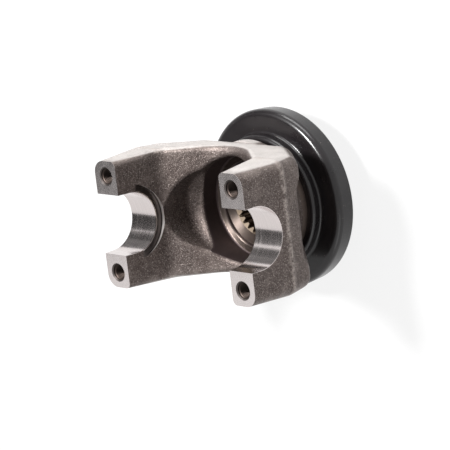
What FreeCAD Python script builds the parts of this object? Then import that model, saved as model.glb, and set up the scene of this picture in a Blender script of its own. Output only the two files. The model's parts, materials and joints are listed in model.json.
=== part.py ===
import FreeCAD, Part
import math
import operator
import os
import Sketcher

# End yoke of a heavy truck driveline: one steel forging with two ears, half-round bearing
# saddles, a channel between the ears, and a splined hub that carries a pressed-on steel dust
# deflector.  Frame: +Z runs up the spline axis towards the ears, the origin is the centre of
# the hub's rear face, and the saddles' common axis (the trunnion line) runs along X.

os.makedirs("parts", exist_ok=True)
doc = FreeCAD.newDocument("EndYoke")

# ---------------------------------------------------------------------------------------
# Sizes, in millimetres and degrees.  A "drop" is measured down from the trunnion line.
# ---------------------------------------------------------------------------------------
SIZES = [
    # saddles and bolt pads
    ("trunnion_height", 140.0, "trunnion line above the hub's rear face"),
    ("saddle_diameter", 49.2, "bearing cap that the saddle takes"),
    ("pad_rise", 9.8, "bolt pads above the trunnion line"),
    ("spot_diameter", 61.2, "ring faced round the saddle inside the ear"),
    ("spot_depth", 3.5, "spot faces cut back from the crease between the ears"),
    ("bolt_side", 12.55, "bolt hole's axis inside the ear's outer face"),
    ("bolt_end", 12.5, "bolt hole's axis inside the ear's flank"),
    ("bolt_drill", 13.0, "bolt hole"),
    ("bolt_depth", 36.0, "full depth of the bolt hole"),
    ("bolt_mouth", 15.4, "countersink of the bolt hole"),
    ("bolt_mouth_angle", 90.0, "angle across the countersink"),
    # outside of the forging, in four levels
    ("span_pads", 167.8, "across the ears at the bolt pads"),
    ("ridge_swell", 2.1, "parting ridge out beyond the pads, across the ears"),
    ("rear_tuck", 2.4, "ears' rear corners in from the pads"),
    ("span_back", 104.0, "across the back of the base"),
    ("side_wall", 8.3, "wall between the nut counterbore and the forging's flank"),
    ("flank_swell", 2.0, "parting ridge out beyond the pads, on the flanks"),
    ("ridge_drop", 31.5, "parting ridge"),
    ("rear_drop", 53.5, "rear corners of the ears"),
    ("floor_thickness", 17.0, "base between the channel's floor and its flat back"),
    ("corner_radius", 10.5, "outer corners of the ears and base"),
    ("ridge_rounding", 12.0, "rounding of the ridge across the ears' outer faces"),
    ("flank_rounding", 40.0, "rounding of the ridge along the forging's flanks"),
    ("rear_rounding", 7.0, "rounding of the ears' rear corners"),
    ("back_rounding", 5.0, "rounding of the base's back edge"),
    # channel between the ears
    ("gap_pads", 118.4, "between the ears at the bolt pads"),
    ("gap_crease", 106.2, "between the ears at the crease"),
    ("channel_depth", 62.0, "floor of the channel"),
    ("channel_angle", 38.2, "slope of the channel's flanks"),
    ("floor_radius", 45.0, "hollow of the channel's floor"),
    ("crease_rounding", 12.0, "rounding of the crease"),
    ("rim_rounding", 4.5, "rounding of the channel's long edges"),
    # cups inside the ears, nut counterbore and seats
    ("cup_diameter", 69.0, "forged cup at the foot of each ear"),
    ("cup_overlap", 0.4, "cup's wall beyond the crease"),
    ("cup_sink", 2.3, "bottom of the cups below the channel's floor"),
    ("cup_hollow", 10.0, "hollow corner at the bottom of a cup"),
    ("hollow_rounding", 3.5, "rounding round the cups and the counterbore"),
    ("nut_seat_sink", 2.0, "nut seat below the base's flat back"),
    ("nut_seat_width", 7.2, "ring of the nut seat, out to the counterbore's wall"),
    ("nut_corner", 2.0, "radius in the corner of the counterbore"),
    ("washer_seat_diameter", 73.0, "sunk washer seat"),
    ("washer_seat_depth", 3.0, "washer seat below the nut seat"),
    ("seat_bevel", 0.8, "bevel between the two seats"),
    # spline
    ("spline_teeth", 26.0, "number of spline teeth"),
    ("spline_pitch_diameter", 49.4, "pitch circle of the spline"),
    ("spline_minor_diameter", 47.2, "tips of the internal teeth"),
    ("spline_major_diameter", 52.0, "roots of the internal teeth"),
    ("spline_pressure_angle", 30.0, "lean of the teeth's flanks"),
    ("spline_lead", 2.9, "bevel that leads into the spline"),
    # hub outside
    ("journal_diameter", 85.0, "ground journal for the oil seal"),
    ("journal_lead", 2.5, "bevel at the journal's end"),
    ("seat_step", 2.1, "deflector's press seat out beyond the journal"),
    ("seat_margin", 3.0, "press seat longer than the deflector's collar"),
    ("shoulder_step", 3.9, "neck and its shoulder out beyond the press seat"),
    ("flange_step", 4.8, "round flange out beyond the neck"),
    ("flange_reach", 6.5, "round flange behind the back of the base"),
    ("neck_length", 5.5, "neck, from the round flange to its shoulder"),
    ("flange_rounding", 2.5, "rounding of the flange's back edge"),
    # relief behind each ear
    ("relief_distance", 92.1, "back of the relief from the trunnion line"),
    ("relief_angle", 45.0, "lean of the relief"),
    ("relief_length", 100.0, "length of the relief along the ear's back"),
    ("relief_width", 54.0, "width of the relief between the two lobes"),
    ("relief_reach", 12.0, "how far back the relief is cut clear"),
    ("lobe_angle", 20.0, "slope from the relief up to a lobe"),
    ("lobe_rounding", 8.0, "hollow at the foot of that slope"),
    # deflector
    ("sheet", 2.0, "sheet thickness of the deflector"),
    ("collar_length", 12.0, "length of the deflector's collar"),
    ("boss_width", 10.0, "ring of the raised middle, from the collar out"),
    ("boss_height", 9.2, "raised middle above the web"),
    ("web_width", 19.4, "web, from the raised middle out to the rim"),
    ("rim_lean", 1.2, "rim leans in towards its rear edge"),
    ("rim_depth", 17.4, "web face to the rim's rear edge"),
    ("collar_bend", 0.8, "inside radius of the bend at the collar"),
    ("boss_bend", 1.2, "inside radius of the bend at the boss edge"),
    ("foot_bend", 2.2, "inside radius of the bend at the boss foot"),
    ("shoulder_bend", 3.2, "inside radius of the bend at the rim"),
    # tools
    ("overrun", 5.0, "how far a cut runs on past the face it opens"),
]
NEAR = 0.01  # two places closer than this count as one

sheet = doc.addObject("Spreadsheet::Sheet", "Sizes")
for row, (alias, number, note) in enumerate(SIZES, start=1):
    sheet.set("A%d" % row, note)
    sheet.set("B%d" % row, str(number))
    sheet.setAlias("B%d" % row, alias)
doc.recompute()


class Size:
    """A value together with the sheet formula that gives it."""

    def __init__(self, value, formula):
        self.value = float(value)
        self.formula = formula

    def combine(self, other, sign, operation):
        other = as_size(other)
        formula = "(%s %s %s)" % (self.formula, sign, other.formula)
        return Size(operation(self.value, other.value), formula)

    def __add__(self, other):
        return self.combine(other, "+", operator.add)

    def __sub__(self, other):
        return self.combine(other, "-", operator.sub)

    def __mul__(self, other):
        return self.combine(other, "*", operator.mul)

    def __truediv__(self, other):
        return self.combine(other, "/", operator.truediv)

    def __neg__(self):
        return self * -1


def as_size(number):
    return number if isinstance(number, Size) else Size(number, "%.6f" % number)


def cosine(angle):
    return Size(math.cos(math.radians(angle.value)), "cos(%s)" % angle.formula)


def tangent(angle):
    return Size(math.tan(math.radians(angle.value)), "tan(%s)" % angle.formula)


S = {alias: Size(number, "Sizes." + alias) for alias, number, note in SIZES}


def below_trunnion(drop):
    return S["trunnion_height"] - drop


# ---------------------------------------------------------------------------------------
# Sketch and feature helpers
# ---------------------------------------------------------------------------------------
def bind(thing, path, size):
    """Tie one property of a feature or constraint to the sheet."""
    thing.setExpression(path, size.formula)


def datum(body, role):
    return [item for item in body.Origin.OriginFeatures if item.Role == role][0]


def new_sketch(body, name, plane, across=None, height=None):
    """A sketch on one of the body's own planes, moved across it or along its normal."""
    sketch = body.newObject("Sketcher::SketchObject", name)
    sketch.AttachmentSupport = [(datum(body, plane), "")]
    sketch.MapMode = "FlatFace"
    if across is not None:
        bind(sketch, ".AttachmentOffset.Base.x", across)
    if height is not None:
        bind(sketch, ".AttachmentOffset.Base.z", height)
    return sketch


def place_point(sketch, reference, x, y):
    """Fix a sketch point by its two coordinates, a plain 0 meaning on the axis."""
    geometry, end = reference
    tied = []
    for kind, axis, size in (("DistanceX", -2, x), ("DistanceY", -1, y)):
        if isinstance(size, Size):
            number = sketch.addConstraint(Sketcher.Constraint(kind, -1, 1, geometry, end, size.value))
            name = "%s_%d_%d" % (kind, geometry, end)
            sketch.renameConstraint(number, name)
            tied.append((name, size))
        else:
            sketch.addConstraint(Sketcher.Constraint("PointOnObject", geometry, end, axis))
    return tied


def draw_outline(sketch, corners):
    """A closed outline of straight lines.  A corner is (x, y), or (x, y, radius) to round it."""
    points = [FreeCAD.Vector(as_size(corner[0]).value, as_size(corner[1]).value, 0) for corner in corners]
    count = len(corners)
    lines = []
    for index in range(count):
        lines.append(sketch.addGeometry(Part.LineSegment(points[index - 1], points[index]), False))
    tied = []
    for index, corner in enumerate(corners):
        following = lines[(index + 1) % count]
        sketch.addConstraint(Sketcher.Constraint("Coincident", lines[index], 2, following, 1))
        tied += place_point(sketch, (lines[index], 2), corner[0], corner[1])
    for index, corner in enumerate(corners):
        if len(corner) == 2:
            continue
        before = (points[index - 1] + points[index]) * 0.5
        after = (points[index] + points[(index + 1) % count]) * 0.5
        following = lines[(index + 1) % count]
        arc = sketch.GeometryCount
        sketch.fillet(lines[index], following, before, after, corner[2].value, True, True)
        number = sketch.addConstraint(Sketcher.Constraint("Radius", arc, corner[2].value))
        name = "Radius_%d" % arc
        sketch.renameConstraint(number, name)
        tied.append((name, corner[2]))
    for name, size in tied:
        bind(sketch, "Constraints." + name, size)


def draw_circle(sketch, x, y, diameter):
    centre = FreeCAD.Vector(as_size(x).value, as_size(y).value, 0)
    edge = sketch.addGeometry(Part.Circle(centre, FreeCAD.Vector(0, 0, 1), diameter.value / 2), False)
    number = sketch.addConstraint(Sketcher.Constraint("Diameter", edge, diameter.value))
    sketch.renameConstraint(number, "Diameter_%d" % edge)
    for name, size in [("Diameter_%d" % edge, diameter)] + place_point(sketch, (edge, 3), x, y):
        bind(sketch, "Constraints." + name, size)


def draw_half_round(sketch, height, top, radius):
    """A half round about (0, height) that opens upwards with straight walls to the top."""
    left = FreeCAD.Vector(-radius.value, height.value, 0)
    right = FreeCAD.Vector(radius.value, height.value, 0)
    lift = FreeCAD.Vector(0, top.value - height.value, 0)
    circle = Part.Circle((left + right) * 0.5, FreeCAD.Vector(0, 0, 1), radius.value)
    arc = sketch.addGeometry(Part.ArcOfCircle(circle, math.pi, 2 * math.pi), False)
    path = [right, right + lift, left + lift, left]
    walls = [sketch.addGeometry(Part.LineSegment(*path[step:step + 2]), False) for step in range(3)]
    for rule in (("Tangent", arc, 2, walls[0], 1), ("Coincident", walls[0], 2, walls[1], 1),
                 ("Coincident", walls[1], 2, walls[2], 1), ("Tangent", walls[2], 2, arc, 1),
                 ("Vertical", walls[0]), ("Horizontal", walls[1]), ("Vertical", walls[2])):
        sketch.addConstraint(Sketcher.Constraint(*rule))
    number = sketch.addConstraint(Sketcher.Constraint("Radius", arc, radius.value))
    sketch.renameConstraint(number, "Radius")
    bind(sketch, "Constraints.Radius", radius)
    number = sketch.addConstraint(Sketcher.Constraint("DistanceY", -1, 1, walls[0], 2, top.value))
    sketch.renameConstraint(number, "Top")
    bind(sketch, "Constraints.Top", top)
    for name, size in place_point(sketch, (arc, 3), 0, height):
        bind(sketch, "Constraints." + name, size)


def turned(body, kind, name, profile, across=None):
    """A Revolution or Groove of a profile in the XZ plane about the spline axis or one beside it."""
    sketch = new_sketch(body, name + "Profile", "XZ_Plane", across)
    draw_outline(sketch, profile)
    feature = body.newObject("PartDesign::" + kind, name)
    feature.Profile = sketch
    feature.ReferenceAxis = (sketch, ["V_Axis"])
    feature.Angle = 360
    doc.recompute()
    return feature


def pocket_both_ways(body, name, sketch, length=None):
    """A pocket that cuts the same way on both sides of its sketch."""
    feature = body.newObject("PartDesign::Pocket", name)
    feature.Profile = sketch
    feature.SideType = "Symmetric"
    if length is None:
        feature.Type = "ThroughAll"
    else:
        bind(feature, "Length", length)
    doc.recompute()
    return feature


def rounding(body, name, base, radius, wanted):
    """A fillet on the base's edges that pass the test."""
    edges = enumerate(base.Shape.Edges, start=1)
    names = ["Edge%d" % number for number, edge in edges if wanted(edge)]
    feature = body.newObject("PartDesign::Fillet", name)
    feature.Base = (base, names)
    bind(feature, "Radius", radius)
    doc.recompute()
    return feature


def at_height(edge, height):
    return all(abs(vertex.Z - height.value) < NEAR for vertex in edge.Vertexes)


def is_rising(edge):
    """An edge whose two ends lie at different heights."""
    return abs(edge.Vertexes[0].Z - edge.Vertexes[-1].Z) > NEAR


def is_ring(edge, radius, height):
    """A full circle about the spline axis with this radius at this height."""
    if edge.Degenerated or not isinstance(edge.Curve, Part.Circle) or not at_height(edge, height):
        return False
    central = math.hypot(edge.Curve.Center.x, edge.Curve.Center.y) < NEAR
    return central and abs(edge.Curve.Radius - radius.value) < NEAR


# ---------------------------------------------------------------------------------------
# The forging: blank, hub and channel
# ---------------------------------------------------------------------------------------
yoke = doc.addObject("PartDesign::Body", "end_yoke")
yoke.Label = "end_yoke"

pad_height = S["trunnion_height"] + S["pad_rise"]
ridge_height = below_trunnion(S["ridge_drop"])
rear_height = below_trunnion(S["rear_drop"])
floor_height = below_trunnion(S["channel_depth"])
back_height = floor_height - S["floor_thickness"]
half_span_pads = S["span_pads"] / 2
half_span_ridge = half_span_pads + S["ridge_swell"]
half_span_rear = half_span_pads - S["rear_tuck"]
half_span_back = S["span_back"] / 2
washer_radius = S["washer_seat_diameter"] / 2
bore_radius = washer_radius + S["nut_seat_width"]
half_width = bore_radius + S["side_wall"]
half_width_ridge = half_width + S["flank_swell"]

blank_sketch = new_sketch(yoke, "SideProfile", "XZ_Plane")
draw_outline(blank_sketch, [
    (half_span_pads, pad_height),
    (-half_span_pads, pad_height),
    (-half_span_ridge, ridge_height, S["ridge_rounding"]),
    (-half_span_rear, rear_height, S["rear_rounding"]),
    (-half_span_back, back_height),
    (half_span_back, back_height),
    (half_span_rear, rear_height, S["rear_rounding"]),
    (half_span_ridge, ridge_height, S["ridge_rounding"]),
])
blank = yoke.newObject("PartDesign::Pad", "Blank")
blank.Profile = blank_sketch
blank.SideType = "Symmetric"
bind(blank, "Length", half_width_ridge * 2 + S["overrun"])
doc.recompute()

flank_sketch = new_sketch(yoke, "FlankProfile", "YZ_Plane")
clear = half_width_ridge + S["overrun"]
for side in (1, -1):
    draw_outline(flank_sketch, [
        (half_width * side, pad_height),
        (half_width_ridge * side, ridge_height, S["flank_rounding"]),
        (half_width * side, back_height),
        (clear * side, back_height),
        (clear * side, pad_height),
    ])
drafted = pocket_both_ways(yoke, "DraftedFlanks", flank_sketch)
solid = rounding(yoke, "CornerRounding", drafted, S["corner_radius"], is_rising)
solid = rounding(yoke, "BackRounding", solid, S["back_rounding"],
                 lambda edge: at_height(edge, back_height))

journal_radius = S["journal_diameter"] / 2
seat_radius = journal_radius + S["seat_step"]
neck_radius = seat_radius + S["shoulder_step"]
flange_radius = neck_radius + S["flange_step"]
flange_height = back_height - S["flange_reach"]
flange_top = back_height + S["flange_rounding"]
flange = turned(yoke, "Revolution", "Flange", [
    (0, flange_height),
    (flange_radius, flange_height),
    (flange_radius, flange_top),
    (0, flange_top),
])
solid = rounding(yoke, "FlangeRounding", flange, S["flange_rounding"],
                 lambda edge: is_ring(edge, flange_radius, flange_height))

# Relief behind each ear, slanted like the ear's back.  The two lobes beside it back up the
# bolt holes and slope down into it.
relief_back = S["relief_distance"] + S["relief_reach"]
relief_half = S["relief_width"] / 2
relief_wide = relief_half + S["relief_reach"] / tangent(S["lobe_angle"])
for name, side in (("NearRelief", 1), ("FarRelief", -1)):
    relief_sketch = new_sketch(yoke, name + "Profile", "YZ_Plane")
    bind(relief_sketch, ".AttachmentOffset.Base.y", S["trunnion_height"])
    lean = FreeCAD.Rotation(FreeCAD.Vector(-side, 0, 0), S["relief_angle"].value)
    relief_sketch.AttachmentOffset.Rotation = lean
    bind(relief_sketch, ".AttachmentOffset.Rotation.Angle", S["relief_angle"])
    draw_outline(relief_sketch, [
        (relief_half, -S["relief_distance"], S["lobe_rounding"]),
        (relief_wide, -relief_back),
        (-relief_wide, -relief_back),
        (-relief_half, -S["relief_distance"], S["lobe_rounding"]),
    ])
    relief = pocket_both_ways(yoke, name, relief_sketch, S["relief_length"])

# The hub is turned: the neck, the deflector's press seat against a shoulder, and the ground
# journal on which the oil seal runs.
shoulder_height = flange_height - S["neck_length"]
seat_end = shoulder_height - S["collar_length"] - S["seat_margin"]
hub = turned(yoke, "Revolution", "Hub", [
    (0, 0),
    (journal_radius - S["journal_lead"], 0),
    (journal_radius, S["journal_lead"]),
    (journal_radius, seat_end - S["seat_step"]),
    (seat_radius, seat_end),
    (seat_radius, shoulder_height),
    (neck_radius, shoulder_height),
    (neck_radius, flange_top),
    (0, flange_top),
])

# The channel runs right through between the ears: drafted ear faces down to a crease, two
# sloping flanks, and a hollow floor.
above_pads = pad_height + S["overrun"]
apex_height = floor_height - S["floor_radius"] / cosine(S["channel_angle"]) + S["floor_radius"]
half_crease = S["gap_crease"] / 2
crease_height = apex_height + half_crease * tangent(S["channel_angle"])
draft = (S["gap_pads"] / 2 - half_crease) / (pad_height - crease_height)
mouth = S["gap_pads"] / 2 + draft * S["overrun"]
channel_sketch = new_sketch(yoke, "ChannelProfile", "XZ_Plane")
draw_outline(channel_sketch, [
    (mouth, above_pads),
    (-mouth, above_pads),
    (-half_crease, crease_height, S["crease_rounding"]),
    (0, apex_height, S["floor_radius"]),
    (half_crease, crease_height, S["crease_rounding"]),
])
channel = pocket_both_ways(yoke, "Channel", channel_sketch)


def on_channel_rim(edge):
    """One of the long edges where the channel opens to the side of the forging."""
    box = edge.BoundBox
    beside = min(abs(box.YMin), abs(box.YMax)) > half_width.value - S["corner_radius"].value
    across = box.YMin * box.YMax < 0
    inside = max(-box.XMin, box.XMax) < mouth.value
    return beside and inside and not across and box.ZMin > apex_height.value


solid = rounding(yoke, "RimRounding", channel, S["rim_rounding"], on_channel_rim)

# ---------------------------------------------------------------------------------------
# The forging: cups, counterbore, seats and bore
# ---------------------------------------------------------------------------------------
cup_radius = S["cup_diameter"] / 2
cup_axis = half_crease + S["cup_overlap"] - cup_radius
cup_bottom = floor_height - S["cup_sink"]


def on_rim(edge, across, radius):
    """An edge where a hollow about an axis at this distance breaks through the channel."""
    if edge.Degenerated or isinstance(edge.Curve, (Part.Circle, Part.Line)):
        return False
    middle = edge.valueAt((edge.FirstParameter + edge.LastParameter) / 2)
    away = math.hypot(abs(middle.x) - across.value, middle.y) - radius.value
    return abs(away) < NEAR and middle.z > apex_height.value


# The counterbore, the two seats and the bore are turned about the spline axis.
nut_seat = back_height - S["nut_seat_sink"]
washer_seat = nut_seat - S["washer_seat_depth"]
minor_radius = S["spline_minor_diameter"] / 2
lead = S["spline_lead"]
opening = turned(yoke, "Groove", "Opening", [
    (0, crease_height),
    (0, -lead),
    (minor_radius + lead * 2, -lead),
    (minor_radius, lead),
    (minor_radius, washer_seat - lead),
    (minor_radius + lead, washer_seat),
    (washer_radius, washer_seat),
    (washer_radius, nut_seat - S["seat_bevel"]),
    (washer_radius + S["seat_bevel"], nut_seat),
    (bore_radius, nut_seat, S["nut_corner"]),
    (bore_radius, crease_height),
])
solid = rounding(yoke, "CounterboreRounding", opening, S["hollow_rounding"],
                 lambda edge: on_rim(edge, as_size(0), bore_radius))

# A forged cup hollows out the channel's flank at the foot of each ear.
for name, side in (("NearCup", 1), ("FarCup", -1)):
    cup = turned(yoke, "Groove", name, [
        (0, pad_height),
        (0, cup_bottom),
        (cup_radius, cup_bottom, S["cup_hollow"]),
        (cup_radius, pad_height),
    ], cup_axis * side)
solid = rounding(yoke, "CupRounding", cup, S["hollow_rounding"],
                 lambda edge: on_rim(edge, cup_axis, cup_radius))

# Internal spline: one tooth space, straight-flanked, repeated round the bore.
pitch_radius = S["spline_pitch_diameter"] / 2
major_radius = S["spline_major_diameter"] / 2
half_space = pitch_radius * math.pi / S["spline_teeth"] / 2
flank = tangent(S["spline_pressure_angle"])
inner_x = minor_radius - S["overrun"]
inner_half = half_space + (pitch_radius - inner_x) * flank
outer_half = half_space - (major_radius - pitch_radius) * flank
space_sketch = new_sketch(yoke, "ToothSpaceProfile", "XY_Plane")
draw_outline(space_sketch, [
    (inner_x, -inner_half), (major_radius, -outer_half), (major_radius, outer_half), (inner_x, inner_half),
])
space = yoke.newObject("PartDesign::Pocket", "ToothSpace")
space.Profile = space_sketch
space.Reversed = True
bind(space, "Length", washer_seat + S["overrun"])
doc.recompute()
spline = yoke.newObject("PartDesign::PolarPattern", "Spline")
spline.Originals = [space]
spline.Axis = (datum(yoke, "Z_Axis"), [""])
spline.Angle = 360
bind(spline, "Occurrences", S["spline_teeth"])
yoke.Tip = spline
doc.recompute()

# ---------------------------------------------------------------------------------------
# The forging: machined ears
# ---------------------------------------------------------------------------------------
saddle_sketch = new_sketch(yoke, "SaddleProfile", "YZ_Plane")
draw_half_round(saddle_sketch, S["trunnion_height"], above_pads, S["saddle_diameter"] / 2)
saddles = pocket_both_ways(yoke, "Saddles", saddle_sketch)

spot_sketch = new_sketch(yoke, "SpotFaceProfile", "YZ_Plane")
draw_circle(spot_sketch, 0, S["trunnion_height"], S["spot_diameter"])
spots = pocket_both_ways(yoke, "SpotFaces", spot_sketch, (half_crease + S["spot_depth"]) * 2)

bolt_x = half_span_pads - S["bolt_side"]
bolt_y = half_width - S["bolt_end"]
bolt_sketch = new_sketch(yoke, "BoltCircles", "XY_Plane", height=pad_height)
for side in (1, -1):
    for end in (1, -1):
        draw_circle(bolt_sketch, bolt_x * side, bolt_y * end, S["bolt_drill"])
doc.recompute()
bolts = yoke.newObject("PartDesign::Hole", "BoltHoles")
bolts.Profile = bolt_sketch
doc.recompute()
bolts.ThreadType = "None"
bolts.DepthType = "Dimension"
bolts.DrillPoint = "Angled"
bolts.HoleCutType = "Countersink"
bolts.HoleCutCustomValues = True
bind(bolts, "Diameter", S["bolt_drill"])
bind(bolts, "Depth", S["bolt_depth"])
bind(bolts, "HoleCutDiameter", S["bolt_mouth"])
bind(bolts, "HoleCutCountersinkAngle", S["bolt_mouth_angle"])
doc.recompute()

# ---------------------------------------------------------------------------------------
# The dust deflector: one sheet-steel stamping, pressed on its seat up to the shoulder.  Its
# own frame has the boss face at height 0, and the rim turns back towards the seal.
# ---------------------------------------------------------------------------------------
deflector = doc.addObject("PartDesign::Body", "dust_deflector")
deflector.Label = "dust_deflector"
bind(deflector, ".Placement.Base.z", shoulder_height)

thick = S["sheet"]
collar = seat_radius
boss = collar + S["boss_width"]
web = -S["boss_height"]
rim = boss + S["web_width"]
rim_end = rim - S["rim_lean"]
rim_bottom = web - S["rim_depth"]
stamping = turned(deflector, "Revolution", "Stamping", [
    (collar, 0),
    (collar, -S["collar_length"]),
    (collar + thick, -S["collar_length"]),
    (collar + thick, -thick),
    (boss - thick, -thick),
    (boss - thick, web - thick),
    (rim - thick, web - thick),
    (rim_end - thick, rim_bottom),
    (rim_end, rim_bottom),
    (rim, web),
    (boss, web),
    (boss, 0),
])
BENDS = [
    # name, inner corner of the bend, outer corner of the bend, its inside radius
    ("collar", (collar + thick, -thick), (collar, as_size(0)), S["collar_bend"]),
    ("boss", (boss - thick, -thick), (boss, as_size(0)), S["boss_bend"]),
    ("foot", (boss, web), (boss - thick, web - thick), S["foot_bend"]),
    ("shoulder", (rim - thick, web - thick), (rim, web), S["shoulder_bend"]),
]
solid = stamping
for name, inner, outer, radius in BENDS:
    for label, (x, height), size in (("Inside", inner, radius), ("Outside", outer, radius + thick)):
        world = height + shoulder_height
        solid = rounding(deflector, name.title() + label, solid, size,
                         lambda edge: is_ring(edge, x, height) or is_ring(edge, x, world))

# ---------------------------------------------------------------------------------------
# Checks and export
# ---------------------------------------------------------------------------------------
doc.recompute()
for item in doc.Objects:
    if "Invalid" in item.State or "Error" in item.State:
        raise RuntimeError("%s failed: %s" % (item.Name, item.State))
for body in (yoke, deflector):
    if body.Shape.isNull() or not body.Shape.isValid() or len(body.Shape.Solids) != 1:
        raise RuntimeError("%s has no single valid solid" % body.Label)
    body.Shape.exportStep("parts/%s.step" % body.Label)
    print(body.Label, "volume %.0f mm3" % body.Shape.Volume, body.Shape.BoundBox)
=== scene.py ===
import json
import math

import bpy
from mathutils import Matrix, Vector


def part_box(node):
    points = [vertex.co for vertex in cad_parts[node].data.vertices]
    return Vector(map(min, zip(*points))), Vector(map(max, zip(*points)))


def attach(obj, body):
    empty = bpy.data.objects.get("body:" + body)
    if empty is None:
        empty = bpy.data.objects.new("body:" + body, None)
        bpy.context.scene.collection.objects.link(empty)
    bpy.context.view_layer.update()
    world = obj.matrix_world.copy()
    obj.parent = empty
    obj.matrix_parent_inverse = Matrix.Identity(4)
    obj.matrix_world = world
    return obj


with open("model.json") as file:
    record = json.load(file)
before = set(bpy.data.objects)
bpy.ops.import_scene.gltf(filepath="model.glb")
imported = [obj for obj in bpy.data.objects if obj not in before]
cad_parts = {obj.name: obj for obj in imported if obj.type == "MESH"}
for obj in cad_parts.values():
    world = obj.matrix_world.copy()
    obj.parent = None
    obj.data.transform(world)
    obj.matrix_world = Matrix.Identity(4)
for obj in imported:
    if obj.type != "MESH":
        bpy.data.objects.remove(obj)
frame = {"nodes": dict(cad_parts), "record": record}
for spare in ("Cube", "Light", "Camera"):
    if spare in bpy.data.objects:
        bpy.data.objects.remove(bpy.data.objects[spare])
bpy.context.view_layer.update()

# ---------------------------------------------------------------------------------------
# Yoke forging: one closed-die steel forging, shot-blasted to a brown-grey skin and then
# machined. One material covers it: each machined finish is laid over the skin in its turn,
# where the cut was made.
# ---------------------------------------------------------------------------------------


class Field:
    """A value or colour on the surface; arithmetic on it adds the nodes that work it out."""

    def __init__(self, tree, socket=None):
        self.tree = tree
        self.socket = socket

    def node(self, kind, settings=None, output=0, **inputs):
        """Adds a node; an input is named by its words, or as i and its number."""
        made = self.tree.nodes.new(kind)
        for name, value in (settings or {}).items():
            setattr(made, name, value)
        for name, value in inputs.items():
            key = int(name[1:]) if name[1:].isdigit() else name.replace("_", " ")
            target = made.inputs[key]
            if isinstance(value, Field):
                self.tree.links.new(value.socket, target)
            elif target.type == "RGBA":
                target.default_value = (*value, 1)
            else:
                target.default_value = value
        return Field(self.tree, made.outputs[output] if made.outputs else None)

    def maths(self, operation, first, second=0.0):
        return self.node("ShaderNodeMath", {"operation": operation}, i0=first, i1=second)

    def __add__(self, other):
        return self.maths("ADD", self, other)

    __radd__ = __add__

    def __sub__(self, other):
        return self.maths("SUBTRACT", self, other)

    def __rsub__(self, other):
        return self.maths("SUBTRACT", other, self)

    def __mul__(self, other):
        return self.maths("MULTIPLY", self, other)

    __rmul__ = __mul__

    def __abs__(self):
        return self.maths("ABSOLUTE", self)

    def hypot(self, other):
        """Distance in the plane of the two, from where both are 0."""
        return self.maths("SQRT", self * self + other * other)

    def sine(self):
        return self.maths("SINE", self)

    def upper(self, other):
        return self.maths("MAXIMUM", self, other)

    def over(self, edge, blur=0.00015):
        """1 where the value is over the edge, 0 where it is under, blurred across it."""
        return self.node("ShaderNodeMapRange", {"interpolation_type": "SMOOTHSTEP"}, Value=self,
                         From_Min=edge - blur, From_Max=edge + blur)

    def under(self, edge, blur=0.00015):
        return 1 - self.over(edge, blur)

    def blend(self, first, second):
        """Colour mix with this value as the share of the second."""
        return self.node("ShaderNodeMix", {"data_type": "RGBA"}, output=2, i0=self, i6=first, i7=second)

    def choose(self, first, second):
        """Number mix with this value as the share of the second."""
        return self.node("ShaderNodeMix", {"data_type": "FLOAT"}, i0=self, i2=first, i3=second)

    def cover(self, below, above):
        """One finish laid over another, where this value is 1."""
        return self.node("ShaderNodeMixShader", i0=self, i1=below, i2=above)

    def noise(self, scale, detail, roughness):
        return self.node("ShaderNodeTexNoise", Vector=self, Scale=scale, Detail=detail, Roughness=roughness)

    def stretched(self, *scale):
        return self.node("ShaderNodeMapping", Vector=self, Scale=scale)

    def bump(self, strength, distance):
        """Surface normal of a relief whose height is this value."""
        return self.node("ShaderNodeBump", Strength=strength, Distance=distance, Height=self)

    def finish(self, **inputs):
        return self.node("ShaderNodeBsdfPrincipled", **inputs)

    def put_on(self):
        """Makes this shader the whole material's surface."""
        self.node("ShaderNodeOutputMaterial", Surface=self)


def new_material(name):
    """An empty material, and the place on the piece that its patterns are read from."""
    material = bpy.data.materials.new(name)
    material.use_nodes = True
    material.node_tree.nodes.clear()
    return material, Field(material.node_tree).node("ShaderNodeTexCoord", output="Object")


mounts = {mount["name"]: mount for mount in frame["record"]["mounts"]}
TRUNNION = mounts["near_saddle"]["pos_m"][2]
PAD_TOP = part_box("end_yoke")[1][2]
PARTING = TRUNNION - 0.0315
EAR_FACE, FLANK_FACE = 0.0745, 0.0505
SLIP = 0.0001  # a finish runs on this far past its cut, over the mesh's flats

steel, place = new_material("shot_blasted_forging")
x, y, z = (place.node("ShaderNodeSeparateXYZ", output=axis, Vector=place) for axis in "XYZ")
side_x, side_y = abs(x), abs(y)
from_axis = x.hypot(y)

blast = place.noise(scale=1300.0, detail=3.0, roughness=0.75)
scale = place.noise(scale=620.0, detail=4.0, roughness=0.7)
pitting = place.noise(scale=250.0, detail=2.0, roughness=0.6)
blotch = place.noise(scale=85.0, detail=3.0, roughness=0.6)
cloud = place.noise(scale=22.0, detail=2.0, roughness=0.5)
skin = scale.over(0.5, 0.2).blend((0.046, 0.035, 0.032), (0.104, 0.083, 0.076))
skin = (cloud.over(0.5, 0.2) * 0.45).blend(skin, (0.075, 0.054, 0.047))
skin = (blotch.over(0.6, 0.16) * 0.35).blend(skin, (0.20, 0.165, 0.15))

# painted highlight: the skin is painted lighter towards the flanks, and lightest on the flanks
EDGE_HIGHLIGHT_START, EDGE_HIGHLIGHT_BLUR = 0.0485, 0.005
FLANK_START, FLANK_BLUR = 0.0519, 0.0006
painted_edge_highlight = side_y.over(EDGE_HIGHLIGHT_START, EDGE_HIGHLIGHT_BLUR) * blotch.over(0.42, 0.14)
painted_flank_highlight = side_y.over(FLANK_START, FLANK_BLUR)
# painted glints: bright specks of highlight laid into the skin's colour
painted_glint = blast.over(0.60, 0.06) * scale.over(0.45, 0.15)
skin = (painted_edge_highlight * 0.35).blend(skin, (0.30, 0.255, 0.235))
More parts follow.
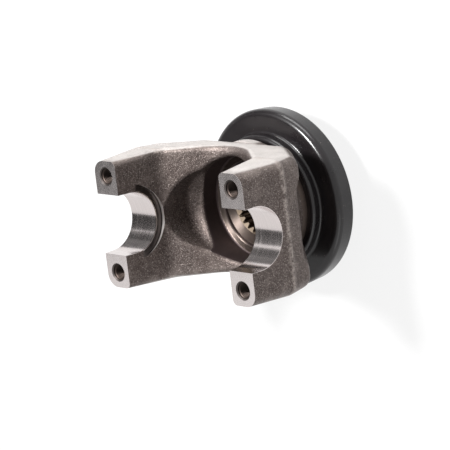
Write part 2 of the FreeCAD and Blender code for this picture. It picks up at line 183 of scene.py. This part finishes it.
# painted highlight: the flanks' pale colour stands in for the light falling on them
skin = (painted_flank_highlight * 0.85).blend(skin, blotch.blend((0.34, 0.315, 0.30), (0.50, 0.475, 0.46)))
skin = (painted_glint * 0.85).blend(skin, (0.48, 0.42, 0.39))

# the flash was trimmed off along the parting line, which leaves a light, torn seam
SEAM_WANDER, SEAM_REACH, SEAM_BLUR = 0.003, 0.0022, 0.0018
wander = place.noise(scale=140.0, detail=2.0, roughness=0.5)
outside = side_x.over(EAR_FACE).upper(side_y.over(FLANK_FACE))
seam = abs(z - PARTING + (wander - 0.5) * SEAM_WANDER).under(SEAM_REACH, SEAM_BLUR) * outside
torn = seam * scale.over(0.45, 0.12) * wander.over(0.42, 0.1)
skin = (torn * 0.75).blend(skin, (0.34, 0.295, 0.27))

skin_bump = (scale + blast * 0.5 + pitting * 1.1 + seam * 0.6).bump(strength=0.8, distance=0.0005)
surface = place.finish(Base_Color=skin, Metallic=0.8 - painted_flank_highlight * 0.35, Normal=skin_bump,
                       Roughness=blast.choose(0.34, 0.56) + painted_flank_highlight * 0.1)

# ---------------------------------------------------------------------------------------
# Counterbore wall: the bore that lets the shaft nut in, turned in steel and painted near black
# as the shade in the bore. The tool's rings run round the spline axis.
# ---------------------------------------------------------------------------------------
COUNTERBORE, COUNTERBORE_TOP = 0.0437, 0.0765
LOW_TOP = 0.100  # on the wall's -y side, under the channel's lower edge, the painted shade reaches this high
NUT_SEAT = 0.059
TURNED_GROOVES = 9000.0  # radians a metre, which is a groove each 0.7 mm
in_bore = from_axis.under(COUNTERBORE + SLIP)
below_seat = in_bore * z.under(NUT_SEAT + SLIP, SLIP / 2)
low_wall_shade = abs(from_axis - COUNTERBORE).under(4 * SLIP) * z.under(LOW_TOP) * y.under(0)
wall = (in_bore * z.under(COUNTERBORE_TOP)).upper(low_wall_shade) * (1 - below_seat)

stain = place.noise(scale=120.0, detail=3.0, roughness=0.6)
turning_bump = ((from_axis * TURNED_GROOVES).sine() * 0.5 + 0.5).bump(strength=0.2, distance=0.00006)
# painted shade: the wall's near-black colour stands for the shade in the bore, also on the low wall
shaded_wall_steel = place.finish(Base_Color=stain.blend((0.030, 0.021, 0.021), (0.050, 0.035, 0.034)),
                          Metallic=0.6, Roughness=0.5, Specular_IOR_Level=0.3, Normal=turning_bump)
surface = wall.cover(surface, shaded_wall_steel)

# ---------------------------------------------------------------------------------------
# Outside of the hub: a turned brown neck under the round flange, and below its shoulder the
# press seat and the seal journal, ground bright with fine lines round the axis.
# ---------------------------------------------------------------------------------------
HUB_INSIDE, SHOULDER, NECK = 0.030, 0.049, 0.0055
GROUND_RADIUS = 0.0455
hub = from_axis.over(HUB_INSIDE)
neck_steel = place.finish(Base_Color=stain.blend((0.12, 0.092, 0.08), (0.19, 0.15, 0.13)),
                          Metallic=0.95, Roughness=0.38, Normal=turning_bump)
surface = (z.under(SHOULDER + NECK) * hub).cover(surface, neck_steel)

grind = place.stretched(40.0, 40.0, 4200.0).noise(scale=1.0, detail=2.0, roughness=0.6)
ground_steel = place.finish(Base_Color=(stain * 0.7).blend((0.36, 0.345, 0.34), (0.52, 0.50, 0.49)),
                            Metallic=1.0, Roughness=grind.choose(0.16, 0.30),
                            Normal=grind.bump(strength=0.12, distance=0.00004))
journal = z.under(SHOULDER + 2 * SLIP) * hub * from_axis.under(GROUND_RADIUS)
surface = journal.cover(surface, ground_steel)

# ---------------------------------------------------------------------------------------
# Nut seat and washer seat: two flat rings faced on a lathe, so that light draws out into a
# fan across the grooves. The low wall between them takes the counterbore wall's painted shade.
# ---------------------------------------------------------------------------------------
WASHER_SEAT, WASHER_RADIUS = 0.056, 0.0365
SPLINE_ROOTS = 0.0266
spline = from_axis.under(SPLINE_ROOTS) * z.under(WASHER_SEAT + SLIP)
seats = below_seat * (1 - spline) * z.over(SHOULDER)
turned = place.finish(Base_Color=stain.blend((0.11, 0.086, 0.074), (0.17, 0.138, 0.122)),
                      Metallic=1.0, Roughness=0.40, Anisotropic=0.95, Anisotropic_Rotation=0.25,
                      Normal=turning_bump)
surface = seats.cover(surface, turned)
# painted shade: the step wall gets the counterbore wall's near-black colour
step_wall = abs(from_axis - WASHER_RADIUS).under(4 * SLIP, SLIP) * z.under(NUT_SEAT - 2 * SLIP)
surface = (seats * step_wall * 0.75).cover(surface, shaded_wall_steel)

# ---------------------------------------------------------------------------------------
# Spline: broached teeth, bare steel with a bronze cast at their lead bevels, and painted dark
# further down the bore as shade.
# ---------------------------------------------------------------------------------------
SPLINE_LEAD, LEAD_BLUR = 0.003, 0.0005
# painted shade: the teeth below their lead bevels are coloured dark
tooth_colour_and_shade = z.over(WASHER_SEAT - SPLINE_LEAD, LEAD_BLUR).blend((0.10, 0.07, 0.05), (0.36, 0.285, 0.215))
surface = spline.cover(surface, place.finish(Base_Color=tooth_colour_and_shade, Metallic=1.0, Roughness=0.28))

# ---------------------------------------------------------------------------------------
# Bolt pads: four flats milled bright at the ends of the ears, with faint cutter lines, and
# the duller countersink that opens each bolt hole.
# ---------------------------------------------------------------------------------------
bolts = mounts["pad_bolts"]["dims"]
BOLT_X, BOLT_Y = bolts["spacing_x_mm"] / 2000, bolts["spacing_y_mm"] / 2000
BOLT_RADIUS = bolts["hole_r_mm"] / 1000
MOUTH_RADIUS, MOUTH_DEPTH = 0.0077, 0.0015
HOLE_START, HOLE_END = 0.001, 0.0413  # below the pad
MILLED_LINES = 5200.0  # radians a metre, which is a line each 1.2 mm
milling = ((x * 0.9 + y * 0.45) * MILLED_LINES).sine() * 0.5 + 0.5
milling_bump = (milling * 0.4 + blast * 0.6).bump(strength=0.12, distance=0.00006)
milled = place.finish(Base_Color=stain.blend((0.60, 0.545, 0.535), (0.74, 0.69, 0.68)),
                      Metallic=0.95, Roughness=stain.choose(0.14, 0.22), Normal=milling_bump)
surface = z.over(PAD_TOP - SLIP, SLIP / 2).cover(surface, milled)

to_bolt = (side_x - BOLT_X).hypot(side_y - BOLT_Y)
hole = to_bolt.under(BOLT_RADIUS + 2 * SLIP, SLIP / 2) * z.under(PAD_TOP - HOLE_START)
hole = hole * z.over(PAD_TOP - HOLE_END)
mouth = to_bolt.under(MOUTH_RADIUS + SLIP / 2, SLIP / 2) * z.under(PAD_TOP - SLIP / 2, SLIP / 5)
mouth = mouth * z.over(PAD_TOP - MOUTH_DEPTH) * (1 - hole)
countersunk = place.finish(Base_Color=(stain * 0.5).blend((0.05, 0.042, 0.04), (0.17, 0.15, 0.14)),
                           Metallic=0.95, Roughness=stain.choose(0.4, 0.5), Normal=milling_bump)
surface = mouth.cover(surface, countersunk)

# ---------------------------------------------------------------------------------------
# Spot faces: the ring faced round each saddle inside the ear. Its colour is painted dark as
# shade, with painted highlight lines where the cutter left the wall and at the saddle's edge.
# ---------------------------------------------------------------------------------------
SADDLE_RADIUS = mounts["near_saddle"]["dims"]["r_mm"] / 1000
SPOT_RADIUS, SPOT_FACE, SPOT_INSIDE = 0.0306, 0.0566, 0.050
EDGE_WIDTH, EDGE_BLUR = 0.0009, 0.0005
FACED_GROOVES = 7000.0  # radians a metre, which is a groove each 0.9 mm
drop = z - TRUNNION
from_trunnion = y.hypot(drop)
faced = abs(side_x - SPOT_FACE).under(2 * SLIP, SLIP / 2) * from_trunnion.under(SPOT_RADIUS + 2 * SLIP, SLIP)
spot_wall = abs(from_trunnion - SPOT_RADIUS).under(3 * SLIP, SLIP)
spot_wall = spot_wall * side_x.under(SPOT_FACE) * side_x.over(SPOT_INSIDE)
# painted highlight: bright lines at the saddle's edge and along the spot face's wall
painted_ring_highlights = from_trunnion.under(SADDLE_RADIUS + EDGE_WIDTH, 2 * SLIP)
painted_ring_highlights = painted_ring_highlights.upper(spot_wall * side_x.under(SPOT_FACE - EDGE_WIDTH, EDGE_BLUR))
# painted shade: the ring's dark colour
ring_shade_and_highlights = painted_ring_highlights.blend(stain.blend((0.060, 0.051, 0.048), (0.11, 0.097, 0.092)), (0.80, 0.76, 0.74))
faced_bump = (from_trunnion * FACED_GROOVES).sine().bump(strength=0.15, distance=0.00006)
faced_steel = place.finish(Base_Color=ring_shade_and_highlights, Metallic=0.95, Roughness=stain.choose(0.24, 0.36),
                           Normal=faced_bump)
surface = faced.upper(spot_wall).cover(surface, faced_steel)

# ---------------------------------------------------------------------------------------
# Saddles: the half-round seats of the bearing caps, bored fine and bright, with the feed
# lines of the boring bar side by side along the trunnion axis.
# ---------------------------------------------------------------------------------------
EAR_INSIDE = 0.055
half_round = from_trunnion.under(SADDLE_RADIUS + 3 * SLIP, SLIP)
straight = side_y.under(SADDLE_RADIUS + 2 * SLIP, SLIP) * drop.over(0)
saddle = half_round.upper(straight) * side_x.over(EAR_INSIDE)
feed = place.stretched(1300.0, 20.0, 20.0).noise(scale=1.0, detail=1.0, roughness=0.5)
bored = place.finish(Base_Color=(feed * 0.6).blend((0.60, 0.545, 0.535), (0.78, 0.72, 0.705)),
                     Metallic=1.0, Roughness=feed.choose(0.12, 0.26),
                     Normal=feed.bump(strength=0.05, distance=0.00005))
surface = saddle.cover(surface, bored)

# ---------------------------------------------------------------------------------------
# Bolt holes: drilled walls behind the threads, painted black as the shade in the holes. They
# are the last cut, so the forging's material is finished and put on here.
# ---------------------------------------------------------------------------------------
# painted shade: the hole walls are coloured near black
shaded_hole_wall = place.finish(Base_Color=stain.blend((0.014, 0.010, 0.009), (0.040, 0.030, 0.026)),
                       Metallic=0.8, Roughness=0.45, Normal=skin_bump)
hole.cover(surface, shaded_hole_wall).put_on()
frame["nodes"]["end_yoke"].material_slots[0].material = steel

# ---------------------------------------------------------------------------------------
# Threads of the four bolt holes: V-shaped ridges of steel that the tap left standing on
# the drilled wall, painted near black as the shade in the holes.
# ---------------------------------------------------------------------------------------
PITCH, TURNS, STEPS = 0.0014, 22, 32
RIDGE = 0.00062
CLEARANCE = 0.00006
THREAD_FOOT = PAD_TOP - 0.0328

shaded_thread_paint, place = new_material("shaded_thread")
thread_mottle = place.noise(scale=240.0, detail=3.0, roughness=0.6)
tearing = place.noise(scale=2200.0, detail=2.0, roughness=0.6)
# painted shade: the threads are coloured near black
place.finish(Base_Color=thread_mottle.blend((0.014, 0.010, 0.009), (0.060, 0.045, 0.038)), Metallic=0.9,
             Roughness=thread_mottle.choose(0.4, 0.55), Normal=tearing.bump(strength=0.3, distance=0.00005)).put_on()

bpy.ops.object.select_all(action="DESELECT")
bpy.ops.mesh.primitive_circle_add(vertices=3, radius=RIDGE, fill_type="NOTHING",
                                  location=(BOLT_RADIUS - CLEARANCE - RIDGE / 2, 0, THREAD_FOOT),
                                  rotation=(math.pi / 2, -math.pi / 2, 0))
thread = bpy.context.object
bpy.ops.object.transform_apply(location=True, rotation=True, scale=True)
winding = thread.modifiers.new("winding", "SCREW")
winding.axis = "Z"
winding.screw_offset = PITCH
winding.iterations = TURNS
winding.steps = winding.render_steps = STEPS
winding.use_smooth_shade = False
bpy.ops.object.modifier_apply(modifier="winding")
bpy.ops.object.mode_set(mode="EDIT")
bpy.ops.mesh.select_all(action="SELECT")
bpy.ops.mesh.fill_holes(sides=4)
bpy.ops.mesh.normals_make_consistent(inside=False)
bpy.ops.object.mode_set(mode="OBJECT")
thread.data.materials.append(shaded_thread_paint)
for ear, side in (("near", 1), ("far", -1)):
    for row, end in (("upper", 1), ("lower", -1)):
        bpy.ops.object.select_all(action="DESELECT")
        ridge = thread.copy()
        ridge.data = thread.data.copy()
        ridge.name = "thread_%s_%s" % (ear, row)
        bpy.context.collection.objects.link(ridge)
        ridge.location = (side * BOLT_X, end * BOLT_Y, 0)
        ridge.select_set(True)
        bpy.context.view_layer.objects.active = ridge
        bpy.ops.object.transform_apply(location=True, rotation=True, scale=True)
        bpy.ops.object.shade_smooth_by_angle(angle=math.radians(30))
        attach(ridge, "root")
bpy.data.objects.remove(thread)

# ---------------------------------------------------------------------------------------
# Dust deflector: deep-drawn sheet steel pressed on the hub, dipped in gloss black coating
# that keeps a faint orange peel, a film of dust and a few specks.
# ---------------------------------------------------------------------------------------
coat, place = new_material("black_dipped_coating")
peel = place.noise(scale=420.0, detail=2.0, roughness=0.5)
dust = place.noise(scale=60.0, detail=4.0, roughness=0.65)
speck = place.noise(scale=900.0, detail=1.0, roughness=0.4).over(0.80, 0.02)
black = (dust * 0.5).blend((0.006, 0.005, 0.006), (0.016, 0.013, 0.013))
black = speck.blend(black, (0.25, 0.22, 0.20))
place.finish(Base_Color=black, Metallic=0.0, Roughness=dust.choose(0.22, 0.36), Specular_IOR_Level=0.3,
             Coat_Weight=0.25, Coat_Roughness=0.16, Normal=peel.bump(strength=0.05, distance=0.0003)).put_on()
frame["nodes"]["dust_deflector"].material_slots[0].material = coat

# ---------------------------------------------------------------------------------------
# Floor and backdrop: a sheet of white paper under the hub and a white room round it, seen
# as plain white and lighting the piece less brightly than they look.
# ---------------------------------------------------------------------------------------
FLOOR_SIZE, FLOOR_GAP = 12, 0.0005
FLOOR_GLOW = 0.85
ROOM_LIGHT = 0.35
WHITE = (1, 1, 1)

bpy.ops.object.select_all(action="DESELECT")
bpy.ops.mesh.primitive_plane_add(size=FLOOR_SIZE, location=(0, 0, -FLOOR_GAP))
floor = bpy.context.object
floor.name = "floor"
paper, place = new_material("white_floor")
seen = place.node("ShaderNodeLightPath", output="Is Camera Ray")
seen = seen.upper(place.node("ShaderNodeLightPath", output="Is Glossy Ray"))
glow = place.node("ShaderNodeEmission", Color=WHITE, Strength=1.0)
(seen * FLOOR_GLOW).cover(place.finish(Base_Color=(0.9, 0.9, 0.9), Roughness=0.9), glow).put_on()
floor.data.materials.append(paper)

room = bpy.data.worlds.new("studio")
bpy.context.scene.world = room
room.use_nodes = True
room.node_tree.nodes.clear()
walls = Field(room.node_tree)
seen = walls.node("ShaderNodeLightPath", output="Is Camera Ray")
for ray in ("Is Glossy Ray", "Is Transmission Ray"):
    seen = seen.upper(walls.node("ShaderNodeLightPath", output=ray))
sky = walls.node("ShaderNodeBackground", Color=WHITE, Strength=seen.choose(ROOM_LIGHT, 1.0))
walls.node("ShaderNodeOutputWorld", Surface=sky)

# ---------------------------------------------------------------------------------------
# Soft lamps: one beside the flanks, a small one over the channel that draws the fan on the
# seats, and a weak fill from the other side.
# ---------------------------------------------------------------------------------------


def softbox(name, centre, target, width, height, power):
    lamp = bpy.data.lights.new(name, "AREA")
    lamp.shape = "RECTANGLE"
    lamp.size = width
    lamp.size_y = height
    lamp.energy = power
    holder = bpy.data.objects.new(name, lamp)
    aim = (Vector(target) - Vector(centre)).to_track_quat("-Z", "Y").to_matrix().to_4x4()
    holder.matrix_world = Matrix.Translation(centre) @ aim
    bpy.context.collection.objects.link(holder)


softbox("top", (0.0, 1.20, 0.16), (0, 0, 0.1), width=0.9, height=0.5, power=12)
softbox("overhead", (-0.20, 0.62, 1.33), (0, 0, 0.08), width=0.3, height=0.3, power=42)
softbox("fill", (0.9, -0.9, 0.5), (0, 0, 0.1), width=1.0, height=0.5, power=2)

# ---------------------------------------------------------------------------------------
# Flags: dark cards round the set, which the bored and milled faces mirror. The floor and
# the camera don't see them, and they cast no shadow.
# ---------------------------------------------------------------------------------------


def flag(name, centre, width, height, grey):
    bpy.ops.object.select_all(action="DESELECT")
    bpy.ops.mesh.primitive_plane_add(size=1)
    card = bpy.context.object
    card.name = name
    aim = Vector(centre).to_track_quat("Z", "Y").to_matrix().to_4x4()
    card.matrix_world = Matrix.Translation(centre) @ aim @ Matrix.Diagonal((width, height, 1, 1))
    card.visible_camera = False
    card.visible_diffuse = False
    card.visible_shadow = False
    paint, place = new_material(name + "_paint")
    place.finish(Base_Color=(grey, grey, grey), Roughness=0.9).put_on()
    card.data.materials.append(paint)


flag("dark_flag", (-1.36, 0.20, 1.32), width=1.26, height=1.0, grey=0.012)
flag("low_flag", (-0.23, 0.22, 0.08), width=0.36, height=0.16, grey=0.14)
flag("grey_flag", (-1.30, 1.13, 0.62), width=0.62, height=0.85, grey=0.04)

# ---------------------------------------------------------------------------------------
# Camera: a long lens on a tall stand, which looks down between the ears into the hub. Its
# frame takes in the whole yoke with a little room round it.
# ---------------------------------------------------------------------------------------
CAMERA_PLACE = (1.3412, 0.4173, 1.3351)
RIGHT, UP, BACK = (0.6942, -0.1161, -0.7104), (-0.0842, 0.9670, -0.2403), (0.7149, 0.2266, 0.6615)
lens = bpy.data.cameras.new("camera")
lens.sensor_width = 36
lens.lens = 189.6
lens.clip_end = 20
camera = bpy.data.objects.new("camera", lens)
bpy.context.collection.objects.link(camera)
camera.matrix_world = Matrix.Translation(CAMERA_PLACE) @ Matrix((RIGHT, UP, BACK)).transposed().to_4x4()
bpy.context.scene.camera = camera
bpy.context.scene.view_settings.view_transform = "Standard"
